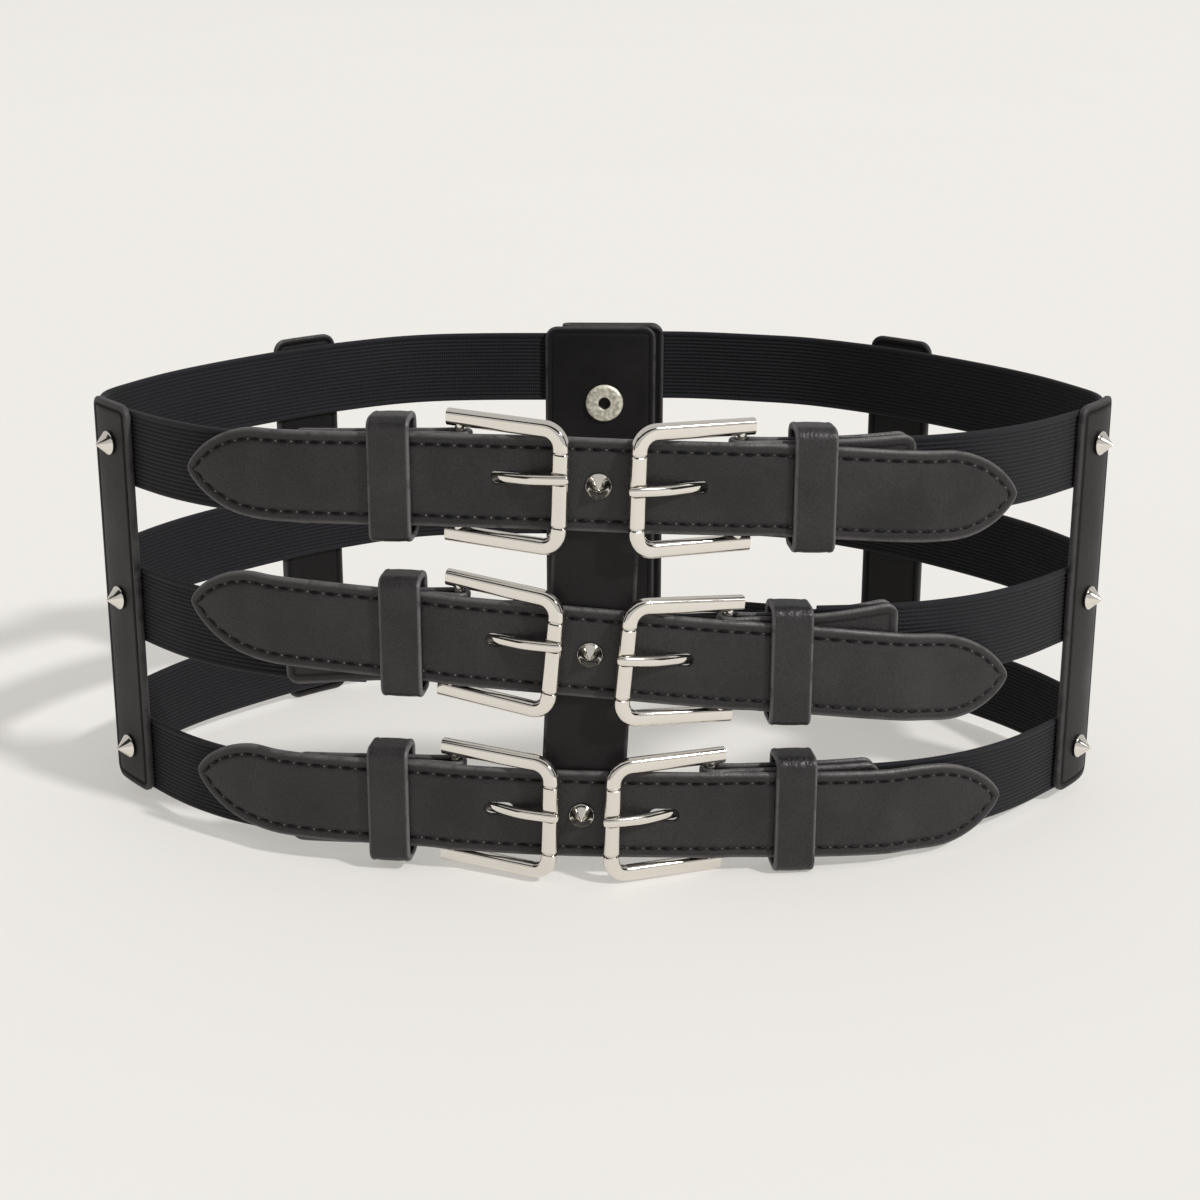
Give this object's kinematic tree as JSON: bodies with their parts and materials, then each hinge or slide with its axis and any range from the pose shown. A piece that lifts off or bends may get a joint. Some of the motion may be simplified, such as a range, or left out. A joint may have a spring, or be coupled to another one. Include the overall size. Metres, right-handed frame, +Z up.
{
  "type": "corset belt",
  "caption": "Wide corset belt: rows of double-buckled leather straps in front on elastic bands, joined by upright leather strips, snap closure behind.",
  "frame": {"origin": "middle of the bounding box, on the plane that the belt stands on", "axes": "+Z up as worn, -Y towards the front with the buckles, +X to the right as seen from the front"},
  "size_m": [0.2934, 0.1818, 0.1305],
  "materials": {
    "strap_leather": "satin charcoal black, fine grain, stitched near the edge",
    "grained_leather": "satin black with a clear fine grain",
    "strip_leather": "satin black, smooth",
    "elastic": "matt blue-black elastic webbing with fine ribs",
    "nickel": "polished nickel"
  },
  "bodies": {
    "root": {"centre_strap_1": "strap_leather", "centre_stud_1": "nickel", "buckle_frame_1_left": "nickel", "buckle_tongue_1_left": "nickel", "base_strap_1_left": "strap_leather", "keeper_1_left": "grained_leather", "elastic_1_left": "elastic", "side_spike_1_left": "nickel", "buckle_frame_1_right": "nickel", "buckle_tongue_1_right": "nickel", "base_strap_1_right": "strap_leather", "keeper_1_right": "grained_leather", "elastic_1_right": "elastic", "side_spike_1_right": "nickel", "centre_strap_2": "strap_leather", "centre_stud_2": "nickel", "buckle_frame_2_left": "nickel", "buckle_tongue_2_left": "nickel", "base_strap_2_left": "strap_leather", "keeper_2_left": "grained_leather", "elastic_2_left": "elastic", "side_spike_2_left": "nickel", "buckle_frame_2_right": "nickel", "buckle_tongue_2_right": "nickel", "base_strap_2_right": "strap_leather", "keeper_2_right": "grained_leather", "elastic_2_right": "elastic", "side_spike_2_right": "nickel", "centre_strap_3": "strap_leather", "centre_stud_3": "nickel", "buckle_frame_3_left": "nickel", "buckle_tongue_3_left": "nickel", "base_strap_3_left": "strap_leather", "keeper_3_left": "grained_leather", "elastic_3_left": "elastic", "side_spike_3_left": "nickel", "buckle_frame_3_right": "nickel", "buckle_tongue_3_right": "nickel", "base_strap_3_right": "strap_leather", "keeper_3_right": "grained_leather", "elastic_3_right": "elastic", "side_spike_3_right": "nickel", "front_strip": "strip_leather", "side_strip_left": "strip_leather", "side_strip_right": "strip_leather", "back_strip_left": "strip_leather", "back_strip_right": "strip_leather", "closure_inner": "strip_leather", "closure_outer": "strip_leather", "closure_snap_1": "nickel", "closure_snap_2": "nickel", "closure_snap_3": "nickel"}
  },
  "joints": []
}
